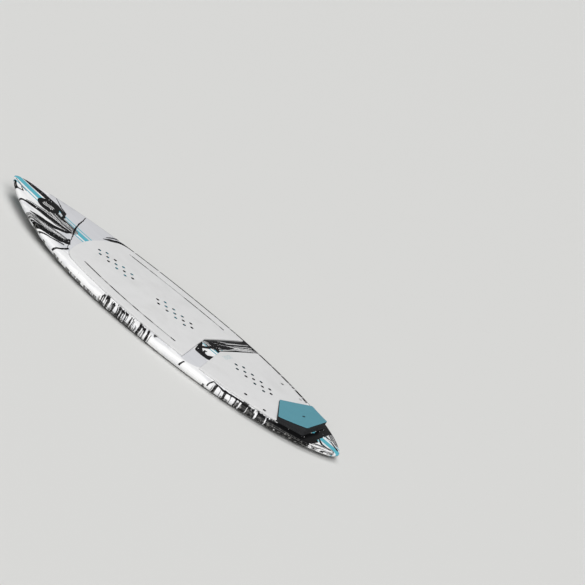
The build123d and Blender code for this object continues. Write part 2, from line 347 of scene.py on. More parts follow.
# Ink drawn over a rail in teeth: lines that run across it, of uneven reach
def makeRailTeeth():
    group, given, out = newGroup(
        "railTeeth",
        {"Plan": ("vector", None), "Inset": ("value", 0.0), "Side": ("value", 1.0),
         "Front": ("value", 100.0), "Rear": ("value", 0.0), "Depth": ("value", 20.0),
         "Pitch": ("value", 10.0), "Darkness": ("value", 0.5), "Black": ("value", 0.0)},
        {"Black": "value"})
    x, y, z = splitNode(group, given["Plan"])
    leaning = mathNode(group, "MULTIPLY_ADD", given["Inset"], teethShape["lean"], x)
    teeth = mathNode(group, "DIVIDE", leaning, given["Pitch"])
    fade = mathNode(group, "MULTIPLY", given["Pitch"], teethShape["fade"])
    down = mathNode(group, "DIVIDE", given["Inset"], fade)
    thread = noiseNode(group, joinNode(group, teeth, down, given["Side"]), 1.0, 2.5, 0.75)
    black = darkPart(group, thread, given["Darkness"])
    uneven = joinNode(group, teeth, 3.0, given["Side"])
    uneven = noiseNode(group, uneven, teethShape["unevenScale"], 2.0, 0.6)
    uneven = mathNode(group, "MULTIPLY_ADD", uneven, teethShape["more"], teethShape["least"])
    reach = mathNode(group, "MULTIPLY", given["Depth"], uneven)
    inside = insideMask(group, mathNode(group, "SUBTRACT", reach, given["Inset"]), teethShape["edge"])
    ahead = softStep(group, mathNode(group, "SUBTRACT", given["Front"], x), *teethShape["ends"])
    behind = softStep(group, mathNode(group, "SUBTRACT", x, given["Rear"]), *teethShape["ends"])
    side = mathNode(group, "GREATER_THAN", mathNode(group, "MULTIPLY", y, given["Side"]), 0.0)
    span = mathNode(group, "MULTIPLY", mathNode(group, "MULTIPLY", ahead, behind), side)
    mask = mathNode(group, "MULTIPLY", mathNode(group, "MULTIPLY", black, inside), span)
    feed(group, out["Black"], mathNode(group, "MAXIMUM", mask, given["Black"]))
    return group


# The racing stripes along the middle: a thick one between thin ones
def makeStripes():
    group, given, out = newGroup(
        "centreStripes",
        {"Plan": ("vector", None), "Thick": ("value", 14.0), "Thin": ("value", 29.0),
         "Thin Width": ("value", 3.4)},
        {"Mask": "value"})
    x, y, z = splitNode(group, given["Plan"])
    side = mathNode(group, "ABSOLUTE", y)
    thick = insideMask(group, mathNode(group, "SUBTRACT", given["Thick"], side))
    offset = offNode(group, side, given["Thin"])
    thin = insideMask(group, mathNode(group, "SUBTRACT", given["Thin Width"], offset))
    feed(group, out["Mask"], mathNode(group, "MAXIMUM", thick, thin))
    return group


# Every size of the badge is a share of its radius
badgeShape = {"rings": (0.97, 0.87), "waves": (-0.22, 0.0, 0.22), "roll": 0.1, "rollRate": 6.3,
              "waveReach": 0.52}


# A round badge with plain rings and three rolling waves across it
def makeWaveBadge():
    group, given, out = newGroup(
        "waveBadge",
        {"Plan": ("vector", None), "Middle": ("vector", None), "Radius": ("value", 40.0),
         "Line": ("value", 2.0), "Rings": ("value", 1.0)},
        {"Disc": "value", "Marks": "value"})
    reach = vectorNode(group, "SUBTRACT", given["Plan"], given["Middle"])
    radius = vectorNode(group, "LENGTH", reach)
    x, y, z = splitNode(group, reach)
    feed(group, out["Disc"], insideMask(group, mathNode(group, "SUBTRACT", given["Radius"], radius)))
    marks = None
    for share in badgeShape["rings"]:
        ring = mathNode(group, "MULTIPLY", given["Radius"], share)
        off = offNode(group, radius, ring)
        mark = insideMask(group, mathNode(group, "SUBTRACT", given["Line"], off))
        marks = mark if marks is None else mathNode(group, "MAXIMUM", marks, mark)
    marks = mathNode(group, "MULTIPLY", marks, given["Rings"])
    roll = mathNode(group, "DIVIDE", x, given["Radius"])
    roll = mathNode(group, "MULTIPLY", roll, badgeShape["rollRate"])
    roll = mathNode(group, "MULTIPLY", mathNode(group, "SINE", roll), badgeShape["roll"])
    inner = mathNode(group, "DIVIDE", radius, given["Radius"])
    inner = mathNode(group, "LESS_THAN", inner, badgeShape["waveReach"])
    for level in badgeShape["waves"]:
        height = mathNode(group, "MULTIPLY", mathNode(group, "ADD", roll, level), given["Radius"])
        off = offNode(group, y, height)
        wave = insideMask(group, mathNode(group, "SUBTRACT", given["Line"], off))
        marks = mathNode(group, "MAXIMUM", marks, mathNode(group, "MULTIPLY", wave, inner))
    feed(group, out["Marks"], marks)
    return group


resinWear = {
    "rippleScale": 0.05, "rippleDepth": 0.0006,
    "scuffAlong": 0.02, "scuffAcross": 0.35, "scuffRange": (0.6, 0.72), "scuffDull": 0.1,
    "railReach": 12.0, "patchScale": 0.12, "patchRange": (0.5, 0.68), "wornDull": 0.35,
    "cloudScale": 0.008, "cloudDull": 0.08,
}


# Polished resin: faint ripple under the gloss and hairline scuffs that dull it
def makeLacquer():
    group, given, out = newGroup(
        "lacquerCoat",
        {"Place": ("vector", None), "Inset": ("value", 100.0), "Shine": ("value", 0.16),
         "Wear": ("value", 0.2), "Ripple": ("value", 0.03)},
        {"Roughness": "value", "Normal": "vector", "Worn": "value"})
    ripple = noiseNode(group, given["Place"], resinWear["rippleScale"], 3.0, 0.5)
    streaks = stretchNode(group, given["Place"], resinWear["scuffAlong"], resinWear["scuffAcross"])
    scuffs = softStep(group, noiseNode(group, streaks, 1.0, 4.0, 0.7), *resinWear["scuffRange"])
    nearRail = softStep(group, given["Inset"], resinWear["railReach"], 0.0)
    patches = noiseNode(group, given["Place"], resinWear["patchScale"], 3.0, 0.6)
    patches = softStep(group, patches, *resinWear["patchRange"])
    worn = mathNode(group, "MULTIPLY", mathNode(group, "MULTIPLY", nearRail, patches), given["Wear"])
    feed(group, out["Worn"], worn)
    scuffed = mathNode(group, "MULTIPLY", scuffs, resinWear["scuffDull"])
    dull = mathNode(group, "ADD", scuffed, mathNode(group, "MULTIPLY", worn, resinWear["wornDull"]))
    cloudy = noiseNode(group, given["Place"], resinWear["cloudScale"], 2.0, 0.5)
    dull = mathNode(group, "ADD", dull, mathNode(group, "MULTIPLY", cloudy, resinWear["cloudDull"]))
    feed(group, out["Roughness"], mathNode(group, "ADD", given["Shine"], dull))
    feed(group, out["Normal"], bumpNode(group, given["Ripple"], resinWear["rippleDepth"], ripple))
    return group


foamSurface = {
    "fuzz": 2.3, "dome": 0.6, "fuzzHeight": 0.5, "depth": 0.0005,
    "brightest": 1.1, "mottleScale": 0.02, "mottle": 0.08, "fuzzShade": 0.12,
    "grimeScale": 0.011, "grimeRange": (0.48, 0.75), "grimeColour": screenColour(126, 122, 114),
    "roughness": (0.78, 0.14),
}


# Closed-cell foam: tiny cells, a soft mottle and grime that settles in patches
def makeFoamGrain():
    group, given, out = newGroup(
        "foamGrain",
        {"Place": ("vector", None), "Colour": ("colour", (0.7, 0.7, 0.7, 1)),
         "Cell": ("value", 1.1), "Depth": ("value", 0.5), "Grime": ("value", 0.1)},
        {"Colour": "colour", "Roughness": "value", "Normal": "vector"})
    size = mathNode(group, "DIVIDE", 1.0, given["Cell"])
    cells = addNode(group, "ShaderNodeTexVoronoi", Vector=given["Place"], Scale=size).outputs["Distance"]
    finer = mathNode(group, "MULTIPLY", size, foamSurface["fuzz"])
    fuzz = noiseNode(group, given["Place"], finer, 3.0, 0.6)
    domes = mathNode(group, "MULTIPLY", cells, foamSurface["dome"])
    height = mathNode(group, "ADD", domes, mathNode(group, "MULTIPLY", fuzz, foamSurface["fuzzHeight"]))
    mottle = noiseNode(group, given["Place"], foamSurface["mottleScale"], 3.0, 0.55)
    patchy = mathNode(group, "MULTIPLY", mottle, foamSurface["mottle"])
    shade = mathNode(group, "ADD", patchy, mathNode(group, "MULTIPLY", fuzz, foamSurface["fuzzShade"]))
    tone = mathNode(group, "SUBTRACT", foamSurface["brightest"], shade)
    colour = mixColours(group, 1.0, given["Colour"], joinNode(group, tone, tone, tone), "MULTIPLY")
    grime = noiseNode(group, given["Place"], foamSurface["grimeScale"], 4.0, 0.6)
    grime = softStep(group, grime, *foamSurface["grimeRange"])
    grime = mathNode(group, "MULTIPLY", grime, given["Grime"])
    feed(group, out["Colour"], mixColours(group, grime, colour, foamSurface["grimeColour"]))
    least, more = foamSurface["roughness"]
    feed(group, out["Roughness"], mathNode(group, "ADD", least, mathNode(group, "MULTIPLY", fuzz, more)))
    feed(group, out["Normal"], bumpNode(group, given["Depth"], foamSurface["depth"], height))
    return group


groups = {
    "place": makeBoardPlace(),
    "swirl": makeInkSwirl(),
    "stroke": makeInkStroke(),
    "comb": makeCombRun(),
    "pool": makeInkPool(),
    "lines": makeCombLines(),
    "teeth": makeRailTeeth(),
    "stripes": makeStripes(),
    "badge": makeWaveBadge(),
    "lacquer": makeLacquer(),
    "foam": makeFoamGrain(),
}
print("shared node groups made:", len(groups))


def newMaterial(name):
    material = bpy.data.materials.new(name)
    material.use_nodes = True
    tree = material.node_tree
    tree.nodes.clear()
    shader = tree.nodes.new("ShaderNodeBsdfPrincipled")
    output = tree.nodes.new("ShaderNodeOutputMaterial")
    tree.links.new(shader.outputs[0], output.inputs["Surface"])
    coords = tree.nodes.new("ShaderNodeTexCoord").outputs["Object"]
    where = placeGroup(tree, groups["place"], Object=coords)
    return material, tree, shader, where


def startState(tree, state, answer):
    return vectorNode(tree, "MULTIPLY_ADD", state, (1.0, 1.0, 0.0), (0.0, 0.0, answer))


# Strokes and bands are lists of (x, y, half width) in millimetres
def layRuns(tree, state, runs, kind):
    for points in runs.values():
        for (x0, y0, w0), (x1, y1, w1) in zip(points, points[1:]):
            run = Vector((x1 - x0, y1 - y0, 0.0))
            sides = {"Side": (-run.y, run.x, 0.0)} if kind == "comb" else {}
            state = placeGroup(tree, groups[kind], State=state, Start=(x0, y0, 0.0), Run=run,
                               Along=run / run.length_squared, Width=w0, Growth=w1 - w0, **sides)["State"]
    return state


# Pools are (x, y, half length, half width, turn in degrees)
def layPools(tree, state, pools):
    for x, y, long, wide, turn in pools.values():
        way = Vector((math.cos(math.radians(turn)), math.sin(math.radians(turn)), 0.0))
        cross = Vector((-way.y, way.x, 0.0))
        state = placeGroup(tree, groups["pool"], State=state, Middle=(x, y, 0.0), LongWay=way / long,
                           CrossWay=cross / wide, Size=min(long, wide))["State"]
    return state


inkColours = {
    "white": screenColour(240, 240, 240),
    "grey": screenColour(204, 205, 209),
    "smoke": screenColour(158, 159, 162),
    "black": screenColour(13, 13, 14),
    "teal": screenColour(92, 176, 192),
}

# Rail teeth are (side, front x, rear x, depth, pitch, darkness), and go round the rail on both prints
railTeeth = {
    "starboardFringe": (-1.0, 366.0, -520.0, 34.0, 15.0, 0.6),
    "portZigzag": (1.0, 150.0, -88.0, 36.0, 13.0, 0.5),
    "portStreaks": (1.0, 290.0, 170.0, 10.0, 22.0, 0.36),
    "portShoulder": (1.0, 392.0, 366.0, 16.0, 12.0, 0.4),
    "portRear": (1.0, -340.0, -440.0, 28.0, 17.0, 0.47),
    "portRearDense": (1.0, -430.0, -660.0, 40.0, 13.0, 0.56),
}

# Deck print, nose to tail
deckPrint = {
    "swirl": (7.0, 2.4), "veil": 0.7, "shine": 0.14, "teethReach": 60.0,
    "calm": {"noseStarboard": (455, -104, 190, 116, 0), "gapPort": (-205, 165, 60, 62, 0),
             "nosePort": (395, 96, 60, 80, 0)},
    "fineBands": {
        "badgeThreads": [(556, 14, 26), (505, 20, 30), (452, 14, 20)],
        "noseFan": [(620, 84, 10), (560, 64, 24), (500, 50, 26), (446, 36, 14)],
        "railFan": [(560, 150, 18), (490, 138, 30), (415, 120, 26)],
        "tailThreads": [(-652, 96, 14), (-690, 78, 20), (-728, 28, 14)],
    },
    "boldBands": {
        "combGap": [(-172, -10, 34), (-190, -110, 36), (-220, -245, 40)],
        "tailStarboard": [(-560, -176, 20), (-640, -112, 26), (-716, -44, 14)],
    },
    "ink": {
        "noseFlame": [(728, -22, 5), (690, -34, 14), (640, -43, 17), (590, -47, 15), (545, -40, 10),
                      (522, -18, 5)],
        "noseHook": [(524, -20, 6), (519, 2, 4)],
        "tipLoops": [(730, 30, 2), (712, 46, 4), (690, 62, 5), (672, 50, 3), (690, 36, 2)],
        "tipLine": [(736, 18, 1.5), (700, 30, 2), (668, 34, 1.5)],
        "featherLow": [(640, 104, 4), (600, 86, 10), (560, 72, 12), (505, 60, 11), (448, 40, 6)],
        "featherMiddle": [(572, 124, 4), (525, 114, 12), (485, 96, 13), (455, 66, 10), (444, 38, 4)],
        "featherTop": [(548, 178, 8), (500, 166, 14), (460, 154, 17), (425, 140, 18), (402, 116, 13),
                       (412, 86, 4)],
        "featherLine": [(500, 190, 3), (440, 176, 4), (398, 152, 5)],
        "badgeTail": [(545, 4, 5), (520, 10, 6), (496, 4, 3)],
        "longLine": [(512, -152, 1.5), (480, -62, 3), (452, 8, 4), (412, 80, 1.3), (380, 150, 1.3)],
        "longLineEnd": [(376, 150, 5), (380, 186, 5), (392, 222, 4)],
        "shortLine": [(618, -100, 2), (575, -66, 3), (540, -52, 4), (526, -22, 3)],
        "threadA": [(556, -6, 2.5), (500, 2, 2), (456, 4, 2.5)],
        "threadB": [(548, 24, 2.5), (500, 32, 2.2), (452, 26, 2.5)],
        "padWedge": [(396, -112, 2), (384, -150, 9), (366, -180, 16), (336, -214, 14)],
        "padWedgeRim": [(402, -140, 2), (396, -176, 4), (384, -206, 5)],
        "railTick": [(-212, 262, 3.5), (-216, 236, 3)],
        "rearOutline": [(-326, 236, 3), (-329, 205, 3), (-372, 210, 6), (-430, 190, 8), (-480, 178, 4)],
        "gapArch": [(-176, 70, 10), (-190, 96, 16), (-228, 96, 14), (-240, 60, 9)],
        "gapArchFoot": [(-204, 84, 5), (-200, 66, 6)],
        "gapRim": [(-172, 70, 6), (-160, 46, 9), (-156, 30, 5)],
        "gapRimLow": [(-150, 4, 5), (-160, -14, 10), (-190, -14, 12), (-214, 2, 8)],
        "gapPost": [(-176, 56, 8), (-184, 30, 7), (-188, 2, 6)],
        "gapSideLeft": [(-172, -96, 5), (-186, -150, 8), (-204, -245, 11)],
        "gapSlantA": [(-160, -26, 9), (-182, -72, 7), (-206, -124, 3)],
        "gapSlantB": [(-178, -16, 11), (-204, -66, 11), (-218, -110, 3)],
        "gapSideRight": [(-214, 0, 7), (-226, -70, 7), (-254, -195, 6)],
        "gapThread": [(-188, -84, 2), (-206, -150, 3.5), (-224, -235, 2.5)],
        "kickPortSide": [(-560, 160, 20), (-600, 124, 34), (-650, 84, 28), (-668, 46, 14)],
        "kickRearSide": [(-650, 60, 20), (-656, 0, 13), (-650, -60, 20)],
        "kickStarboardSide": [(-556, -160, 16), (-600, -128, 30), (-650, -84, 24)],
        "starboardShadow": [(-456, -198, 4), (-510, -182, 9), (-566, -158, 9)],
        "tailVein": [(-668, 16, 4), (-694, 34, 5), (-722, 26, 3)],
        "tailVeinLow": [(-664, -40, 5), (-700, -36, 7), (-736, -12, 5)],
    },
    "islands": {
        "gapEye": [(-206, 72, 4), (-212, 52, 5)],
        "tailSlashA": [(-676, 88, 2), (-700, 62, 4), (-730, 28, 3)],
        "tailSlashC": [(-668, -22, 2), (-700, -40, 3), (-728, -24, 2)],
        "kickSlash": [(-566, -178, 3), (-610, -148, 2), (-650, -110, 2)],
    },
    "badgeMiddle": (585.0, 0.0, 0.0), "badgeRadius": 43.0, "badgeLine": 1.7, "badgeRings": 0.0,
}

# Bottom print, nose to tail
bottomPrint = {
    # the rail lightening (start inset, full inset, strength) is a painted highlight along the bevelled
    # rails
    "swirl": (12.0, 4.0), "veil": 1.0, "shine": 0.12, "teethReach": 12.0, "paintedRailHighlight": (40.0, 30.0, 0.16),
    "calm": {
        "noseStarboard": (560, -92, 110, 52, 24), "nosePort": (600, 78, 80, 34, -28),
        "oval": (151, 70, 88, 44, 90), "ovalLow": (150, -82, 56, 40, 90),
        "railPort": (-112, 214, 70, 28, -6), "tailPort": (-490, 176, 52, 40, -20),
        "noseRailPort": (470, 132, 60, 70, 0),
    },
    "fineBands": {
        "bundle": [(308, 262, 80), (300, 150, 72), (312, 40, 70), (332, -40, 54), (368, -135, 32),
                   (392, -215, 24)],
        "noseArcs": [(590, 170, 14), (520, 120, 22), (470, 96, 16)],
        "petals": [(196, -176, 16), (150, -150, 26), (92, -168, 30), (60, -236, 26)],
        "tail": [(-690, 40, 30), (-735, 0, 20)],
    },
    "boldBands": {
        "sweep": [(95, 262, 122), (58, 176, 108), (-50, 92, 102), (-130, 8, 96), (-182, -86, 82),
                  (-208, -175, 76), (-220, -262, 74)],
        "zigzag": [(232, 202, 16), (214, 150, 18), (204, 80, 16)],
        "railRear": [(-391, 214, 20), (-412, 140, 24), (-424, 66, 18)],
        "tailPort": [(-560, 150, 22), (-620, 128, 30), (-676, 84, 26)],
        "tailStarboard": [(-560, -150, 18), (-640, -110, 26), (-700, -50, 20)],
    },
    "ink": {
        "noseFanA": [(744, 2, 3), (700, 10, 6), (650, 20, 6), (596, 25, 2)],
        "noseFanB": [(740, 0, 4), (690, -2, 7), (630, 2, 6), (596, 6, 2)],
        "noseFanC": [(738, -4, 3), (690, -14, 6), (640, -20, 6), (600, -25, 2)],
        "patchNose": [(590, 164, 3), (562, 146, 13), (530, 126, 9), (505, 104, 3)],
        "patchWide": [(524, 186, 6), (496, 170, 20), (476, 140, 22), (456, 100, 12), (446, 76, 3)],
        "patchSlash": [(452, 206, 4), (424, 180, 15), (430, 130, 9), (440, 74, 2)],
        "noseLineA": [(628, -98, 2), (600, -64, 3), (586, -30, 2)],
        "noseLineB": [(560, -132, 1.5), (520, -104, 2), (498, -100, 1.5)],
        "noseLineC": [(508, -156, 2), (500, -110, 3), (492, -100, 2)],
        "noseLineD": [(420, 60, 2), (404, 20, 2.5), (402, -40, 2), (424, -104, 2), (470, -150, 1.5)],
        "noseLineE": [(682, -60, 1.5), (640, -96, 1.5)],
        "bundleEdge": [(238, 240, 4), (228, 170, 5), (236, 90, 4), (258, -20, 5)],
        "bundleSide": [(356, 60, 3), (372, -60, 4), (402, -160, 5), (412, -205, 5)],
        "arcTop": [(170, -100, 3), (222, -74, 9), (270, -72, 18), (312, -92, 20)],
        "arcMiddle": [(250, -96, 16), (300, -128, 28), (326, -165, 26)],
        "arcLow": [(322, -140, 26), (334, -190, 28), (338, -225, 20)],
        "arcTail": [(150, -106, 2), (186, -92, 4), (240, -112, 8), (262, -150, 10)],
        "plumb": [(202, 100, 2), (201, 10, 3), (208, -62, 2)],
        "lensTop": [(100, 6, 3), (78, -8, 17), (48, -42, 26), (16, -84, 27)],
        "lensLow": [(16, -84, 27), (-20, -124, 22), (-52, -152, 18), (-72, -178, 6)],
        "wedgeRail": [(94, -108, 3), (82, -150, 10), (64, -196, 20), (52, -232, 18)],
        "wedgeMiddle": [(60, -196, 14), (20, -190, 5), (-14, -176, 4)],
        "wedgeArch": [(-6, -160, 3), (-22, -200, 8), (-60, -226, 12), (-104, -244, 8)],
        "railPatchA": [(18, 262, 6), (2, 236, 16), (-34, 214, 17), (-62, 196, 5)],
        "railPatchB": [(-70, 252, 6), (-92, 232, 7), (-100, 200, 2)],
        "railPatchC": [(-108, 250, 4), (-120, 226, 5), (-112, 200, 2)],
        "sweepEdge": [(-10, 208, 5), (-46, 170, 6), (-110, 158, 6), (-168, 142, 5), (-186, 110, 9),
                      (-204, 60, 10)],
        "poolSpur": [(-214, 176, 4), (-240, 148, 13), (-276, 132, 16)],
        "poolTop": [(-312, 240, 4), (-308, 200, 9), (-300, 150, 24), (-296, 110, 30)],
        "crownA": [(-180, 152, 6), (-200, 128, 13), (-212, 100, 10), (-204, 60, 9), (-226, 28, 15)],
        "crownB": [(-240, 140, 9), (-286, 124, 26), (-328, 112, 24), (-352, 68, 18)],
        "crownC": [(-262, 60, 32), (-304, 30, 34), (-338, 0, 22)],
        "poolArm": [(-330, 110, 20), (-380, 96, 12), (-400, 60, 6)],
        "wedgeTail": [(-432, 106, 2), (-470, 100, 7), (-505, 98, 11), (-542, 98, 12)],
        "tailThread": [(-438, 70, 2), (-500, 62, 1.6), (-540, 50, 2)],
        "tailBlock": [(-440, -112, 6), (-470, -118, 12), (-520, -118, 14)],
        "tailBlockLow": [(-476, -140, 26), (-496, -172, 30)],
        "slipA": [(-398, -96, 8), (-402, -150, 10), (-380, -205, 6)],
        "poolEdge": [(-390, 60, 6), (-372, 20, 4)],
        "tipA": [(-700, 20, 4), (-736, 6, 5)],
        "tipB": [(-690, -30, 6), (-726, -20, 6)],
        "railPetal": [(132, -262, 10), (118, -236, 9), (96, -224, 3)],
    },
    "pools": {
        "big": (-322, -66, 152, 66, 84),
        "bigTop": (-300, 96, 66, 46, 30),
        "shoulder": (-216, 82, 40, 34, 0),
        "aft": (-566, -168, 60, 22, 20),
        "aftPort": (-640, 96, 60, 20, -32),
    },
    "islands": {
        "star": [(-196, 84, 6), (-222, 78, 18), (-244, 62, 8)],
        "starUp": [(-218, 84, 12), (-224, 116, 5)],
        "starDown": [(-226, 70, 12), (-214, 52, 5)],
        "ovalRail": [(-346, 196, 16), (-352, 150, 24), (-350, 122, 14)],
        "ovalSmall": [(-322, 206, 9), (-330, 176, 10)],
        "splash": [(-300, 96, 3), (-318, 72, 4), (-332, 40, 2)],
        "seepA": [(-258, 20, 2), (-262, -60, 3), (-248, -140, 2)],
        "seepB": [(-274, -96, 1.5), (-280, -180, 2.5), (-262, -236, 2)],
        "slitA": [(-360, 0, 2), (-372, -60, 3), (-392, -110, 4)],
        "crescent": [(286, -104, 2), (322, -116, 3), (352, -150, 2)],
        "tailSlip": [(-452, -88, 12), (-500, -74, 14)],
        "aftSlash": [(-590, 130, 3), (-640, 104, 4), (-690, 60, 3)],
    },
    "badgeMiddle": (496.0, 0.0, 0.0), "badgeRadius": 99.0, "badgeLine": 2.2, "badgeRings": 1.0,
    "waveMark": {"front": -44.0, "rear": -222.0, "height": 17.0, "length": 44.0, "line": 5.0,
                 "edge": 0.4},
}


def layTeeth(tree, plan, inset, deepest):
    black = 0.0
    for side, front, rear, depth, pitch, darkness in railTeeth.values():
        black = placeGroup(tree, groups["teeth"], Plan=plan, Inset=inset, Side=side, Front=front, Rear=rear,
                           Depth=min(depth, deepest), Pitch=pitch, Darkness=darkness, Black=black)["Black"]
    return black


# How the marbled print is laid: edges and depths in millimetres, noise scales per millimetre
marble = {
    "veilAlong": 0.006, "veilAcross": 0.03, "veilFrom": 0.42, "veilTo": 0.7,
    "calmEdge": 5.0, "calmStrength": 0.85,
    "combs": (("fineBands", 10.0, 0.52), ("boldBands", 14.0, 0.53)),
    "inkEdge": 0.5, "noInk": -999.0, "noBand": 9.0,
    "speckScale": 0.11, "speckFrom": 0.72, "speckTo": 0.735, "speckDepth": (3.0, 8.0),
}


def inkMask(tree, ink):
    return insideMask(tree, ink, marble["inkEdge"])


def marbleColour(tree, where, art):
    broad, fine = art["swirl"]
    plan = placeGroup(tree, groups["swirl"], Plan=where["Plan"], Broad=broad, Fine=fine)["Plan"]
    x, y, z = splitNode(tree, plan)
    faint = joinNode(tree, mathNode(tree, "MULTIPLY", x, marble["veilAlong"]),
                     mathNode(tree, "MULTIPLY", y, marble["veilAcross"]))
    veil = softStep(tree, noiseNode(tree, faint, 1.0, 4.0, 0.65), marble["veilFrom"], marble["veilTo"])
    veil = mathNode(tree, "MULTIPLY", veil, art["veil"])
    colour = mixColours(tree, veil, inkColours["white"], inkColours["grey"])
    state = layPools(tree, startState(tree, plan, marble["noInk"]), art["calm"])
    calm = insideMask(tree, answerOf(tree, state), marble["calmEdge"])
    calm = mathNode(tree, "MULTIPLY", calm, marble["calmStrength"])
    colour = mixColours(tree, calm, colour, inkColours["grey"])
    stripes = placeGroup(tree, groups["stripes"], Plan=where["Plan"])["Mask"]
    colour = mixColours(tree, stripes, colour, inkColours["teal"])
    for bands, lines, darkness in marble["combs"]:
        state = layRuns(tree, startState(tree, state, marble["noBand"]), art[bands], "comb")
        comb = placeGroup(tree, groups["lines"], Across=answerOf(tree, state), Plan=state,
                          Lines=lines, Darkness=darkness)
        threads = mixColours(tree, comb["Grey"], inkColours["white"], inkColours["smoke"])
        threads = mixColours(tree, comb["Black"], threads, inkColours["black"])
        colour = mixColours(tree, comb["Inside"], colour, threads)
    state = layPools(tree, startState(tree, state, marble["noInk"]), art.get("pools", {}))
    state = layRuns(tree, state, art["ink"], "stroke")
    ink = answerOf(tree, state)
    colour = mixColours(tree, inkMask(tree, ink), colour, inkColours["black"])
    # white specks float in the widest pools
    specks = noiseNode(tree, where["Plan"], marble["speckScale"], 1.0, 0.5)
    specks = softStep(tree, specks, marble["speckFrom"], marble["speckTo"])
    specks = mathNode(tree, "MULTIPLY", specks, softStep(tree, ink, *marble["speckDepth"]))
    colour = mixColours(tree, specks, colour, inkColours["white"])
    state = layRuns(tree, startState(tree, state, marble["noInk"]), art["islands"], "stroke")
    islands = inkMask(tree, answerOf(tree, state))
    return mixColours(tree, islands, colour, inkColours["white"]), plan


def badgeOver(tree, where, art, colour):
    badge = placeGroup(tree, groups["badge"], Plan=where["Plan"], Middle=art["badgeMiddle"],
                       Radius=art["badgeRadius"], Line=art["badgeLine"], Rings=art["badgeRings"])
    colour = mixColours(tree, badge["Disc"], colour, inkColours["black"])
    return mixColours(tree, badge["Marks"], colour, inkColours["white"])


# One plain rolling wave behind the middle
def waveMarkOver(tree, where, mark, colour):
    x, y, z = splitNode(tree, where["Plan"])
    roll = mathNode(tree, "SINE", mathNode(tree, "MULTIPLY", x, 2 * math.pi / mark["length"]))
    roll = mathNode(tree, "MULTIPLY", roll, mark["height"])
    off = offNode(tree, y, roll)
    middle = (mark["front"] + mark["rear"]) / 2
    inside = mathNode(tree, "LESS_THAN", offNode(tree, x, middle), (mark["front"] - mark["rear"]) / 2)
    line = softStep(tree, off, mark["line"] + mark["edge"], mark["line"] - mark["edge"])
    return mixColours(tree, mathNode(tree, "MULTIPLY", line, inside), colour, inkColours["white"])


def finishShader(tree, shader, colour, roughness, normal, specular=0.5):
    feed(tree, shader.inputs["Base Color"], colour)
    feed(tree, shader.inputs["Roughness"], roughness)
    feed(tree, shader.inputs["Normal"], normal)
    shader.inputs["Specular IOR Level"].default_value = specular


resin = {"worn": screenColour(228, 226, 220), "bend": 1.45, "specular": 0.2,
         "coat": 0.03, "coatRoughness": 0.06}


def makePrint(name, art):
    material, tree, shader, where = newMaterial(name)
    colour, plan = marbleColour(tree, where, art)
    if "paintedRailHighlight" in art:
        # painted highlight: the colour is lightened over the bevelled rails, where light catches the
        # curving surface
        inner, outer, strength = art["paintedRailHighlight"]
        paintedRailHighlight = mathNode(tree, "MULTIPLY", softStep(tree, where["Inset"], inner, outer), strength)
        colour = mixColours(tree, paintedRailHighlight, colour, inkColours["white"])
    teeth = layTeeth(tree, plan, where["Inset"], art["teethReach"])
    colour = mixColours(tree, teeth, colour, inkColours["black"])
    colour = badgeOver(tree, where, art, colour)
    if "waveMark" in art:
        colour = waveMarkOver(tree, where, art["waveMark"], colour)
    coat = placeGroup(tree, groups["lacquer"], Place=where["Place"], Inset=where["Inset"],
                      Shine=art["shine"])
    colour = mixColours(tree, coat["Worn"], colour, resin["worn"])
    finishShader(tree, shader, colour, coat["Roughness"], coat["Normal"], resin["specular"])
    shader.inputs["IOR"].default_value = resin["bend"]
    shader.inputs["Coat Weight"].default_value = resin["coat"]
    shader.inputs["Coat Roughness"].default_value = resin["coatRoughness"]
    return material


def foamOver(tree, where, look, colour):
    return placeGroup(tree, groups["foam"], Place=where["Place"], Colour=colour, Cell=look["cell"],
                      Depth=look["depth"], Grime=look["grime"])


padFoamLook = {
    "colour": screenColour(214, 214, 214), "under": screenColour(38, 39, 41),
    "underFrom": -548.5, "underTo": -550.0,
    "cell": 1.0, "depth": 0.45, "grime": 0.07, "specular": 0.3,
    "markX": -251.0, "markHalfLong": 10.0, "markHalfWide": 24.0, "markStrength": 0.5,
    "markColour": screenColour(158, 190, 196),
    "wavePitch": 3.3, "waveRoll": 2.0, "waveRate": 0.52, "waveEdge": (1.4, 2.0),
    "press": 0.5, "pressDepth": 0.0006,
}


def makePadMaterial():
    look = padFoamLook
    material, tree, shader, where = newMaterial("padFoam")
    x, y, z = splitNode(tree, where["Place"])
    # the pad turns charcoal where it runs on under the kick
    under = softStep(tree, x, look["underFrom"], look["underTo"])
    colour = mixColours(tree, under, look["colour"], look["under"])
    # a faint pressed-in mark of short waves near the rear pad's point
    nearX = mathNode(tree, "LESS_THAN", offNode(tree, x, look["markX"]), look["markHalfLong"])
    nearY = mathNode(tree, "LESS_THAN", mathNode(tree, "ABSOLUTE", y), look["markHalfWide"])
    inMark = mathNode(tree, "MULTIPLY", nearX, nearY)
    roll = mathNode(tree, "SINE", mathNode(tree, "MULTIPLY", y, look["waveRate"]))
    roll = mathNode(tree, "MULTIPLY", roll, look["waveRoll"])
    fromEnd = mathNode(tree, "SUBTRACT", x, look["markX"] - look["markHalfLong"])
    waves = mathNode(tree, "PINGPONG", mathNode(tree, "ADD", fromEnd, roll), look["wavePitch"])
    waves = mathNode(tree, "MULTIPLY", softStep(tree, waves, *look["waveEdge"]), inMark)
    tint = mathNode(tree, "MULTIPLY", waves, look["markStrength"])
    foam = foamOver(tree, where, look, mixColours(tree, tint, colour, look["markColour"]))
    sunk = mathNode(tree, "SUBTRACT", 0.0, waves)
    normal = bumpNode(tree, look["press"], look["pressDepth"], sunk, foam["Normal"])
    finishShader(tree, shader, foam["Colour"], foam["Roughness"], normal, look["specular"])
    return material
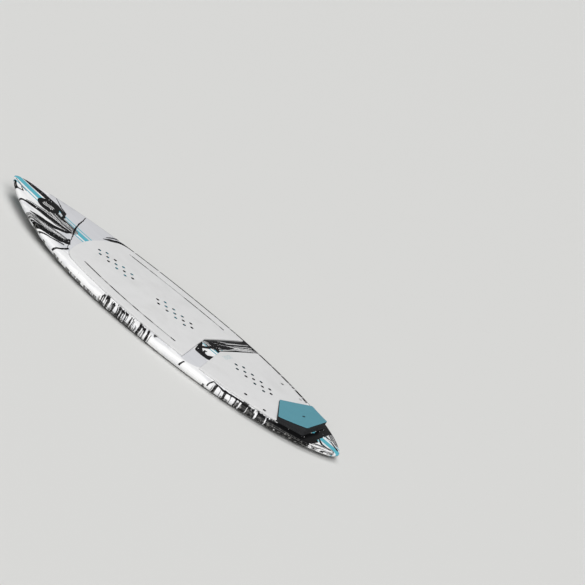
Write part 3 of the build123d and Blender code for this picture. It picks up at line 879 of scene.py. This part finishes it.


# The walls of the drain holes and grooves: painted shade, near black, for the shade inside the openings and
# the dark print seen through them, with teal or pale patches for the print showing at their bottoms
padCutLook = {
    "deep": screenColour(9, 9, 10), "teal": screenColour(70, 128, 140), "pale": screenColour(188, 188, 188),
    "cell": 0.9, "depth": 0.4, "grime": 0.02, "specular": 0.2,
    "stripeHalf": 40.0, "tealScale": 0.034, "tealRange": (0.49, 0.53),
    "tealRear": -330.0, "tealFront": 120.0, "tealLeast": 0.25,
    "paleScale": 0.016, "paleRange": (0.47, 0.56),
}


def makePadCutMaterial():
    look = padCutLook
    material, tree, shader, where = newMaterial("padCut")
    x, y, z = splitNode(tree, where["Place"])
    teal = softStep(tree, noiseNode(tree, where["Plan"], look["tealScale"], 1.0, 0.5), *look["tealRange"])
    middle = mathNode(tree, "LESS_THAN", mathNode(tree, "ABSOLUTE", y), look["stripeHalf"])
    ahead = softStep(tree, x, look["tealRear"], look["tealFront"])
    ahead = mathNode(tree, "MULTIPLY_ADD", ahead, 1.0 - look["tealLeast"], look["tealLeast"])
    teal = mathNode(tree, "MULTIPLY", mathNode(tree, "MULTIPLY", teal, middle), ahead)
    # painted shade: the walls start near black, with teal patches in the middle stripe
    colour = mixColours(tree, teal, look["deep"], look["teal"])
    pale = softStep(tree, noiseNode(tree, where["Plan"], look["paleScale"], 2.0, 0.5), *look["paleRange"])
    pale = mathNode(tree, "MULTIPLY", pale, mathNode(tree, "SUBTRACT", 1.0, middle))
    foam = foamOver(tree, where, look, mixColours(tree, pale, colour, look["pale"]))
    finishShader(tree, shader, foam["Colour"], foam["Roughness"], foam["Normal"], look["specular"])
    return material


# The dot is (x, y, half length, half width); side colours show where the foam faces sideways
foamLooks = {
    "kickCover": {"colour": screenColour(88, 146, 160), "cell": 0.9, "depth": 0.4, "grime": 0.05,
                  "side": screenColour(20, 21, 22), "sideFacing": (0.55, 0.35),
                  "dot": (-582.0, 0.0, 4.5, 8.0), "dotEdge": (1.1, 0.9),
                  "dotColour": screenColour(34, 62, 70)},
    "kickWedge": {"colour": screenColour(40, 41, 43), "cell": 1.3, "depth": 0.7, "grime": 0.05},
    "coreFoam": {"colour": screenColour(240, 236, 222), "cell": 3.5, "depth": 0.6, "grime": 0.05},
    "insertFoam": {"colour": screenColour(222, 196, 150), "cell": 1.2, "depth": 0.4, "grime": 0.04},
}


def makeFoamMaterial(name):
    look = foamLooks[name]
    material, tree, shader, where = newMaterial(name)
    colour = look["colour"]
    if "side" in look:
        facing = splitNode(tree, addNode(tree, "ShaderNodeNewGeometry").outputs["True Normal"])[2]
        colour = mixColours(tree, softStep(tree, facing, *look["sideFacing"]), colour, look["side"])
    if "dot" in look:
        x, y, long, wide = look["dot"]
        reach = vectorNode(tree, "SUBTRACT", where["Plan"], (x, y, 0.0))
        reach = vectorNode(tree, "LENGTH", vectorNode(tree, "DIVIDE", reach, (long, wide, 1.0)))
        colour = mixColours(tree, softStep(tree, reach, *look["dotEdge"]), colour, look["dotColour"])
    foam = foamOver(tree, where, look, colour)
    finishShader(tree, shader, foam["Colour"], foam["Roughness"], foam["Normal"], 0.3)
    return material


# Harder finishes: roughness is its least and how much the relief adds, relief is strength and metres
def finishRelief(tree, shader, look, colour, height):
    least, more = look["roughness"]
    roughness = mathNode(tree, "ADD", least, mathNode(tree, "MULTIPLY", height, more))
    finishShader(tree, shader, colour, roughness, bumpNode(tree, *look["relief"], height))


woodLook = {"pale": screenColour(214, 184, 138), "dark": screenColour(166, 124, 78), "along": 0.01,
            "across": 0.6, "rings": (0.35, 0.7), "roughness": (0.5, 0.2), "relief": (0.3, 0.0003)}


def makeWoodMaterial():
    material, tree, shader, where = newMaterial("stringerWood")
    grain = stretchNode(tree, where["Place"], woodLook["along"], woodLook["across"])
    rings = noiseNode(tree, grain, 1.0, 5.0, 0.6)
    colour = mixColours(tree, softStep(tree, rings, *woodLook["rings"]), woodLook["pale"], woodLook["dark"])
    finishRelief(tree, shader, woodLook, colour, rings)
    return material


filmLook = {"thin": screenColour(62, 63, 65), "thick": screenColour(46, 47, 49), "flow": 0.05,
            "roughness": (0.35, 0.2), "relief": (0.2, 0.0002)}


def makeFilmMaterial():
    material, tree, shader, where = newMaterial("padAdhesive")
    flow = noiseNode(tree, where["Place"], filmLook["flow"], 4.0, 0.6)
    finishRelief(tree, shader, filmLook, mixColours(tree, flow, filmLook["thin"], filmLook["thick"]), flow)
    return material


plasticLook = {"fresh": screenColour(34, 35, 37), "rubbed": screenColour(78, 79, 82), "rub": 0.4,
               "pits": 1.6, "along": 0.05, "across": 0.8, "rubFrom": (0.56, 0.72), "roughness": (0.42, 0.2),
               "relief": (0.25, 0.0002)}


def makePlasticMaterial():
    material, tree, shader, where = newMaterial("finBoxPlastic")
    pits = noiseNode(tree, where["Place"], plasticLook["pits"], 3.0, 0.6)
    x, y, z = splitNode(tree, where["Place"])
    rub = joinNode(tree, mathNode(tree, "MULTIPLY", x, plasticLook["along"]),
                   mathNode(tree, "MULTIPLY", y, plasticLook["across"]), z)
    rubbed = softStep(tree, noiseNode(tree, rub, 1.0, 3.0, 0.7), *plasticLook["rubFrom"])
    rubbed = mathNode(tree, "MULTIPLY", rubbed, plasticLook["rub"])
    colour = mixColours(tree, rubbed, plasticLook["fresh"], plasticLook["rubbed"])
    finishRelief(tree, shader, plasticLook, colour, pits)
    return material


steelLook = {"bright": screenColour(196, 197, 200), "dull": screenColour(150, 151, 155), "turning": 3.0,
             "roughness": (0.24, 0.2), "relief": (0.2, 0.0001)}


def makeSteelMaterial():
    material, tree, shader, where = newMaterial("screwSteel")
    turned = noiseNode(tree, where["Place"], steelLook["turning"], 4.0, 0.7)
    colour = mixColours(tree, turned, steelLook["bright"], steelLook["dull"])
    finishRelief(tree, shader, steelLook, colour, turned)
    shader.inputs["Metallic"].default_value = 1.0
    return material


labelLook = {
    "front": -386.0, "rear": -499.0, "half": 48.0, "corner": 3.0, "thickness": 0.2,
    "band": 16.0, "bandGap": 9.0, "rearGap": 7.0, "sideGap": 6.0, "rule": 5.4, "ruleEdge": (0.8, 0.4),
    "paper": screenColour(246, 246, 244), "fleck": screenColour(232, 232, 230), "fleckScale": 0.4,
    "ruleColour": screenColour(120, 120, 122), "ruleStrength": 0.6, "bandColour": screenColour(226, 84, 46),
    "roughness": (0.3, 0.15), "relief": (0.15, 0.0002),
}


def makeLabelMaterial():
    look = labelLook
    material, tree, shader, where = newMaterial("labelVinyl")
    x, y, z = splitNode(tree, where["Place"])
    fleck = noiseNode(tree, where["Place"], look["fleckScale"], 4.0, 0.6)
    colour = mixColours(tree, fleck, look["paper"], look["fleck"])
    # plain ruled lines, with a clear border
    bandEdge = look["front"] - look["band"]
    rules = softStep(tree, mathNode(tree, "PINGPONG", y, look["rule"] / 2), *look["ruleEdge"])
    borders = (mathNode(tree, "LESS_THAN", x, bandEdge - look["bandGap"]),
               mathNode(tree, "GREATER_THAN", x, look["rear"] + look["rearGap"]),
               mathNode(tree, "LESS_THAN", mathNode(tree, "ABSOLUTE", y), look["half"] - look["sideGap"]))
    for border in borders:
        rules = mathNode(tree, "MULTIPLY", rules, border)
    rules = mathNode(tree, "MULTIPLY", rules, look["ruleStrength"])
    colour = mixColours(tree, rules, colour, look["ruleColour"])
    band = mathNode(tree, "GREATER_THAN", x, bandEdge)
    colour = mixColours(tree, band, colour, look["bandColour"])
    finishRelief(tree, shader, look, colour, fleck)
    return material


materials = {
    "deck": makePrint("deckPrint", deckPrint),
    "bottom": makePrint("bottomPrint", bottomPrint),
    "pad": makePadMaterial(),
    "padCut": makePadCutMaterial(),
    "kickCover": makeFoamMaterial("kickCover"),
    "kickWedge": makeFoamMaterial("kickWedge"),
    "core": makeFoamMaterial("coreFoam"),
    "insert": makeFoamMaterial("insertFoam"),
    "wood": makeWoodMaterial(),
    "film": makeFilmMaterial(),
    "plastic": makePlasticMaterial(),
    "steel": makeSteelMaterial(),
    "label": makeLabelMaterial(),
}
print("materials made:", len(materials))

nodeFinishes = {
    "deck_skin": "deck", "bottom_skin": "bottom",
    "core_port": "core", "core_starboard": "core", "stringer": "wood",
    "fin_insert_port": "insert", "fin_insert_starboard": "insert", "fin_insert_centre": "insert",
    "fin_box_port": "plastic", "fin_box_starboard": "plastic", "fin_box_centre": "plastic",
    "fin_box_screws": "steel", "front_pad_adhesive": "film", "rear_pad_adhesive": "film",
}
for nodeName, finish in nodeFinishes.items():
    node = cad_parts[nodeName]
    if not node.material_slots:
        node.data.materials.append(materials[finish])
    for slot in node.material_slots:
        slot.link = "OBJECT"
        slot.material = materials[finish]
print("finishes given to the kept parts")


# Plan outlines are lists of (x, y); the foam lies on the left of each loop
def signedArea(loop):
    return sum(a[0] * b[1] - b[0] * a[1] for a, b in zip(loop, loop[1:] + loop[:1])) / 2


def turnLoop(loop, anticlockwise):
    return list(loop) if (signedArea(loop) > 0) == anticlockwise else list(reversed(loop))


def roundCorners(loop, radius, sharpest=14.0, steps=5):
    rounded = []
    for before, here, after in zip(loop[-1:] + loop[:-1], loop, loop[1:] + loop[:1]):
        corner = Vector(here)
        back, on = Vector(before) - corner, Vector(after) - corner
        turn = math.pi - back.angle(on)
        if math.degrees(turn) < sharpest:
            rounded.append(here)
            continue
        cut = min(radius * math.tan(turn / 2), 0.45 * back.length, 0.45 * on.length)
        start, end = corner + back.normalized() * cut, corner + on.normalized() * cut
        for i in range(steps + 1):
            t = i / steps
            point = start * (1 - t) ** 2 + corner * 2 * t * (1 - t) + end * t ** 2
            rounded.append(tuple(point))
    return rounded


def spaceOut(loop, spacing):
    spaced = []
    for a, b in zip(loop, loop[1:] + loop[:1]):
        count = max(1, round(math.dist(a, b) / spacing))
        for i in range(count):
            spaced.append((a[0] + (b[0] - a[0]) * i / count, a[1] + (b[1] - a[1]) * i / count))
    return spaced


def insetLoop(loop, distance):
    moved = []
    for before, here, after in zip(loop[-1:] + loop[:-1], loop, loop[1:] + loop[:1]):
        a = (Vector(here) - Vector(before)).normalized()
        b = (Vector(after) - Vector(here)).normalized()
        left = Vector((-a.y - b.y, a.x + b.x)).normalized()
        stretch = 1 / max(left.dot(Vector((-a.y, a.x))), 0.5)
        moved.append(tuple(Vector(here) + left * distance * stretch))
    return moved


def insideLoop(points, loop):
    points, loop = np.array(points), np.array(loop)
    inside = np.zeros(len(points), bool)
    for (x0, y0), (x1, y1) in zip(loop, np.roll(loop, -1, axis=0)):
        crosses = (y0 > points[:, 1]) != (y1 > points[:, 1])
        with np.errstate(divide="ignore", invalid="ignore"):
            at = x0 + (points[:, 1] - y0) * (x1 - x0) / (y1 - y0)
        inside ^= crosses & (points[:, 0] < at)
    return inside


def loopGap(points, loop):
    ends = np.array(loop)
    return np.min(np.linalg.norm(np.array(points)[:, None, :] - ends[None, :, :], axis=2), axis=1)


# How close to a loop the inner points may come, as a share of the grid, and the sharpest smooth angle
cutting = {"clear": 0.62, "smooth": 42.0, "merge": 1e-5}


# A closed sheet between two curved faces, with rounded upper edges, cut out along its loops
def cutSheet(name, outline, openings, faceAt, baseAt, softEdge, softOpening=0.25, grid=9.0, steps=4):
    loops = [(turnLoop(outline, True), softEdge)]
    loops += [(turnLoop(loop, False), softOpening) for loop in openings]
    flat, edges = [], []
    for loop, soft in loops:
        first, count = len(flat), len(loop)
        flat += insetLoop(loop, soft)
        edges += [(first + i, first + (i + 1) % count) for i in range(count)]
    rim = len(flat)
    xs, ys = [p[0] for p in outline], [p[1] for p in outline]
    inner = [(x, y) for x in np.arange(min(xs), max(xs), grid) for y in np.arange(min(ys), max(ys), grid)]
    keep = insideLoop(inner, loops[0][0])
    for loop, soft in loops:
        keep &= loopGap(inner, loop) > cutting["clear"] * grid
    for loop, soft in loops[1:]:
        keep &= ~insideLoop(inner, loop)
    flat += [p for p, good in zip(inner, keep) if good]
    spots = [Vector(p) for p in flat]
    made, _, triangles, origins, _, _ = delaunay_2d_cdt(spots, edges, [], 1, cutting["merge"])
    middles = [tuple(sum((made[i] for i in t), Vector((0, 0))) / 3) for t in triangles]
    good = insideLoop(middles, loops[0][0])
    for loop, soft in loops[1:]:
        good &= ~insideLoop(middles, insetLoop(loop, soft))
    source = [o[0] for o in origins]
    triangles = [[source[i] for i in t] for t, ok in zip(triangles, good) if ok]

    mesh = bmesh.new()
    sign = 1 if faceAt(*flat[-1]) > baseAt(*flat[-1]) else -1
    face = [mesh.verts.new((x * mm, y * mm, faceAt(x, y) * mm)) for x, y in flat]
    base = [None] * rim + [mesh.verts.new((x * mm, y * mm, baseAt(x, y) * mm)) for x, y in flat[rim:]]
    first = 0
    for loop, soft in loops:
        count = len(loop)
        rings = [face[first:first + count]]
        for k in range(1, steps + 1):
            angle = math.pi / 2 * k / steps
            ring = insetLoop(loop, soft * (1 - math.sin(angle)))
            drop = sign * soft * (1 - math.cos(angle))
            rings.append([mesh.verts.new((x * mm, y * mm, (faceAt(x, y) - drop) * mm)) for x, y in ring])
        rings.append([mesh.verts.new((x * mm, y * mm, baseAt(x, y) * mm)) for x, y in loop])
        base[first:first + count] = rings[-1]
        for upper, lower in zip(rings, rings[1:]):
            for i in range(count):
                j = (i + 1) % count
                wall = mesh.faces.new((upper[i], lower[i], lower[j], upper[j]))
                wall.material_index = int(first > 0)
        first += count
    for t in triangles:
        mesh.faces.new([face[i] for i in t])
        mesh.faces.new([base[i] for i in reversed(t)])
    for vert in [v for v in mesh.verts if not v.link_faces]:
        mesh.verts.remove(vert)
    bmesh.ops.recalc_face_normals(mesh, faces=mesh.faces)
    data = bpy.data.meshes.new(name)
    mesh.to_mesh(data)
    mesh.free()
    data.polygons.foreach_set("use_smooth", [True] * len(data.polygons))
    data.set_sharp_from_angle(angle=math.radians(cutting["smooth"]))
    piece = bpy.data.objects.new(name, data)
    bpy.context.scene.collection.objects.link(piece)
    return piece


def dress(piece, finishes, nodeName=None):
    for finish in finishes:
        piece.data.materials.append(materials[finish])
    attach(piece, "root")
    if nodeName:
        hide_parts(nodeName)
    print("piece:", piece.name, len(piece.data.polygons), "faces")


padding = {
    "thickness": 5.0, "film": 0.5, "inset": 38.0, "softEdge": 1.7, "corner": 5.0,
    "noseX": 390.0, "shoulderX": 352.0, "noseCorner": 55.0,
    "notchX": -150.0, "notchCornerX": -193.0,
    "apexX": -219.0, "cornerX": -262.0, "endX": -638.0, "endHalf": 80.0,
    "hole": 6.0, "pitch": 39.1, "side": 22.9, "columns": 5,
    "frontGroups": (339.0, 66.5), "rearGroup": -290.0,
    "loneX": (-417.0, -500.0), "loneY": 134.0,
    "grooveWidth": 6.0, "groove": ((300.0, 150.0), (90.0, 170.0), (-129.0, 171.0)),
    "spacing": 5.0,
}
kick = {
    "apexX": -482.0, "sideX": -549.0, "rearX": -636.0, "sideHalf": 128.0, "rearHalf": 76.0,
    "rampX": (-470.0, -549.0, -650.0), "rampRise": (0.8, 6.0, 21.5),
    "sheet": 4.0, "corner": 7.0, "softEdge": 1.2,
}


def padSideY(x):
    return halfWidth(x) - padding["inset"]


def circleThrough(a, b, c):
    ax, ay, bx, by, cx, cy = *a, *b, *c
    d = 2 * (ax * (by - cy) + bx * (cy - ay) + cx * (ay - by))
    ux = ((ax**2 + ay**2) * (by - cy) + (bx**2 + by**2) * (cy - ay) + (cx**2 + cy**2) * (ay - by)) / d
    uy = ((ax**2 + ay**2) * (cx - bx) + (bx**2 + by**2) * (ax - cx) + (cx**2 + cy**2) * (bx - ax)) / d
    return (ux, uy), math.dist((ux, uy), a)


def arcPoints(middle, radius, angles):
    return [(middle[0] + radius * math.cos(a), middle[1] + radius * math.sin(a)) for a in angles]


def frontPadOutline():
    # the rounded nose end: a wide arc, then a tighter one that turns into the side
    shoulder = (padding["shoulderX"], padSideY(padding["shoulderX"]))
    (middleX, _), reach = circleThrough(shoulder, (padding["noseX"], 0.0), (shoulder[0], -shoulder[1]))
    corner = padding["noseCorner"]
    sideXs = np.linspace(padding["shoulderX"] + 20, padding["notchCornerX"], 90)
    side = [(x, padSideY(x)) for x in sideXs]
    low, high = 0.0, math.asin(min(1.0, shoulder[1] / reach))
    for _ in range(40):
        angle = (low + high) / 2
        centre = (middleX + (reach - corner) * math.cos(angle), (reach - corner) * math.sin(angle))
        gap = min(math.dist(centre, p) for p in side)
        low, high = (angle, high) if gap > corner else (low, angle)
    touch = min(side, key=lambda p: math.dist(centre, p))
    turned = math.atan2(touch[1] - centre[1], touch[0] - centre[0])
    half = arcPoints((middleX, 0.0), reach, np.linspace(0, angle, 14))
    half += arcPoints(centre, corner, np.linspace(angle, turned, 12)[1:])
    half += [p for p in side if p[0] < touch[0] - 3]
    other = [(x, -y) for x, y in reversed(half[1:])]
    return half + [(padding["notchX"], 0.0)] + other


def rearPadOutline():
    lastX = kick["sideX"] + 15
    half = [(x, padSideY(x)) for x in np.linspace(padding["cornerX"], lastX, 40)]
    half += [(kick["sideX"], kick["sideHalf"] + 3), (padding["endX"], padding["endHalf"])]
    return [(padding["apexX"], 0.0)] + half + [(x, -y) for x, y in reversed(half)]


def drainHoles(frontX):
    spots = [(frontX - i * padding["pitch"], 0.0) for i in range(padding["columns"])]
    for i in range(padding["columns"] - 1):
        x = frontX - (i + 0.5) * padding["pitch"]
        spots += [(x, padding["side"]), (x, -padding["side"])]
    return spots


def ringLoop(spot, radius, count=24):
    return arcPoints(spot, radius, [2 * math.pi * i / count for i in range(count)])


def grooveLoop(side):
    points = [(x, side * y) for x, y in padding["groove"]]
    middle, reach = circleThrough(*points)
    start, end = (math.atan2(p[1] - middle[1], p[0] - middle[0]) for p in (points[0], points[-1]))
    angles = np.linspace(start, end, 80)
    half = padding["grooveWidth"] / 2
    outer = arcPoints(middle, reach + half, angles)
    inner = arcPoints(middle, reach - half, reversed(angles))
    return roundCorners(outer + inner, half * 0.7, 40.0, 3)


def padTop(x, y):
    return deckAt(x, y) + padding["film"] + padding["thickness"]


def padBase(x, y):
    return deckAt(x, y) + padding["film"]


frontHoles = [ringLoop(s, padding["hole"]) for x in padding["frontGroups"] for s in drainHoles(x)]
frontOutline = spaceOut(roundCorners(frontPadOutline(), padding["corner"]), padding["spacing"])
frontPad = cutSheet("frontPad", frontOutline, frontHoles + [grooveLoop(1), grooveLoop(-1)],
                    padTop, padBase, padding["softEdge"])
dress(frontPad, ("pad", "padCut"), "front_pad")

rearSpots = drainHoles(padding["rearGroup"])
rearSpots += [(x, s * padding["loneY"]) for x in padding["loneX"] for s in (1, -1)]
rearOutline = spaceOut(roundCorners(rearPadOutline(), padding["corner"]), padding["spacing"])
rearPad = cutSheet("rearPad", rearOutline, [ringLoop(s, padding["hole"]) for s in rearSpots],
                   padTop, padBase, padding["softEdge"])
dress(rearPad, ("pad", "padCut"), "rear_pad")


def rampCircle(lift):
    rises = [padding["film"] + padding["thickness"] + rise + lift for rise in kick["rampRise"]]
    return circleThrough(*[(x, deckAt(x) + rise) for x, rise in zip(kick["rampX"], rises)])


rampLow, rampHigh = rampCircle(0.0), rampCircle(kick["sheet"])


def onRamp(circle, x):
    (cx, cz), reach = circle
    return cz - math.copysign(math.sqrt(reach**2 - (x - cx) ** 2), cz)


kickPoints = [(kick["apexX"], 0.0), (kick["sideX"], kick["sideHalf"]), (kick["rearX"], kick["rearHalf"]),
              (kick["rearX"], -kick["rearHalf"]), (kick["sideX"], -kick["sideHalf"])]
kickOutline = spaceOut(roundCorners(kickPoints, kick["corner"], steps=8), 3.0)
kickCover = cutSheet("kickCover", kickOutline, [], lambda x, y: onRamp(rampHigh, x),
                     lambda x, y: onRamp(rampLow, x), kick["softEdge"], grid=7.0)
dress(kickCover, ("kickCover",), "kick_top")
kickWedge = cutSheet("kickWedge", kickOutline, [], lambda x, y: onRamp(rampLow, x),
                     lambda x, y: min(padTop(x, y), onRamp(rampLow, x) - 0.3), 0.3, grid=7.0)
dress(kickWedge, ("kickWedge",), "kick_block")

labelOutline = [(labelLook["front"], labelLook["half"]), (labelLook["rear"], labelLook["half"]),
                (labelLook["rear"], -labelLook["half"]), (labelLook["front"], -labelLook["half"])]
labelOutline = spaceOut(roundCorners(labelOutline, labelLook["corner"]), 4.0)
label = cutSheet("bottomLabel", labelOutline, [], lambda x, y: bottomAt(x) - labelLook["thickness"],
                 lambda x, y: bottomAt(x) - 0.02, 0.08, grid=8.0, steps=2)
dress(label, ("label",))

# Stage: a wide pale floor, soft lamps and a camera looking down along the deck from the port side
stage = {
    "floorHalf": 30.0, "floorDrop": 0.0002, "floorColour": screenColour(214, 214, 212),
    "floorRoughness": 0.9,
    "camera": (-2.6182, 6.8318, 2.8286), "forward": (0.30159, -0.89680, -0.32371),
    "up": (0.59605, -0.08765, 0.79815), "lens": 144.6, "sensor": 36.0,
    "skyStrength": 0.16,
    # each sun is its direction of shining, strength and how wide and soft it is in degrees
    "suns": {
        "keySun": ((0.45, -0.72, -0.85), 1.95, 38.0),
        "topSun": ((-0.25, 0.12, -1.0), 1.3, 50.0),
        "railSun": ((0.35, -1.0, -0.16), 0.55, 30.0),
    },
}


def makeFloor():
    half = stage["floorHalf"]
    mesh = bmesh.new()
    corners = [(x * half, y * half, -stage["floorDrop"]) for x, y in ((-1, -1), (1, -1), (1, 1), (-1, 1))]
    mesh.faces.new([mesh.verts.new(corner) for corner in corners])
    data = bpy.data.meshes.new("studioFloor")
    mesh.to_mesh(data)
    mesh.free()
    floor = bpy.data.objects.new("studioFloor", data)
    bpy.context.scene.collection.objects.link(floor)
    material = bpy.data.materials.new("floorPaint")
    material.use_nodes = True
    shader = material.node_tree.nodes["Principled BSDF"]
    shader.inputs["Base Color"].default_value = stage["floorColour"]
    shader.inputs["Roughness"].default_value = stage["floorRoughness"]
    data.materials.append(material)


def makeLights():
    world = bpy.data.worlds.new("studioAir")
    world.use_nodes = True
    sky = world.node_tree.nodes["Background"]
    sky.inputs["Color"].default_value = (1.0, 1.0, 1.0, 1.0)
    sky.inputs["Strength"].default_value = stage["skyStrength"]
    bpy.context.scene.world = world
    for name, (way, strength, softness) in stage["suns"].items():
        sun = bpy.data.lights.new(name, "SUN")
        sun.energy = strength
        sun.angle = math.radians(softness)
        holder = bpy.data.objects.new(name, sun)
        bpy.context.scene.collection.objects.link(holder)
        holder.rotation_euler = Vector(way).to_track_quat("-Z", "Y").to_euler()


def makeCamera():
    lens = bpy.data.cameras.new("studioCamera")
    lens.lens = stage["lens"]
    lens.sensor_width = stage["sensor"]
    lens.clip_end = 100.0
    camera = bpy.data.objects.new("studioCamera", lens)
    bpy.context.scene.collection.objects.link(camera)
    forward = Vector(stage["forward"]).normalized()
    right = forward.cross(Vector(stage["up"])).normalized()
    up = right.cross(forward)
    turn = Matrix((right, up, -forward)).transposed().to_4x4()
    camera.matrix_world = Matrix.Translation(stage["camera"]) @ turn
    bpy.context.scene.camera = camera


makeFloor()
makeLights()
makeCamera()
bpy.context.scene.view_settings.view_transform = "Standard"
print("stage set")
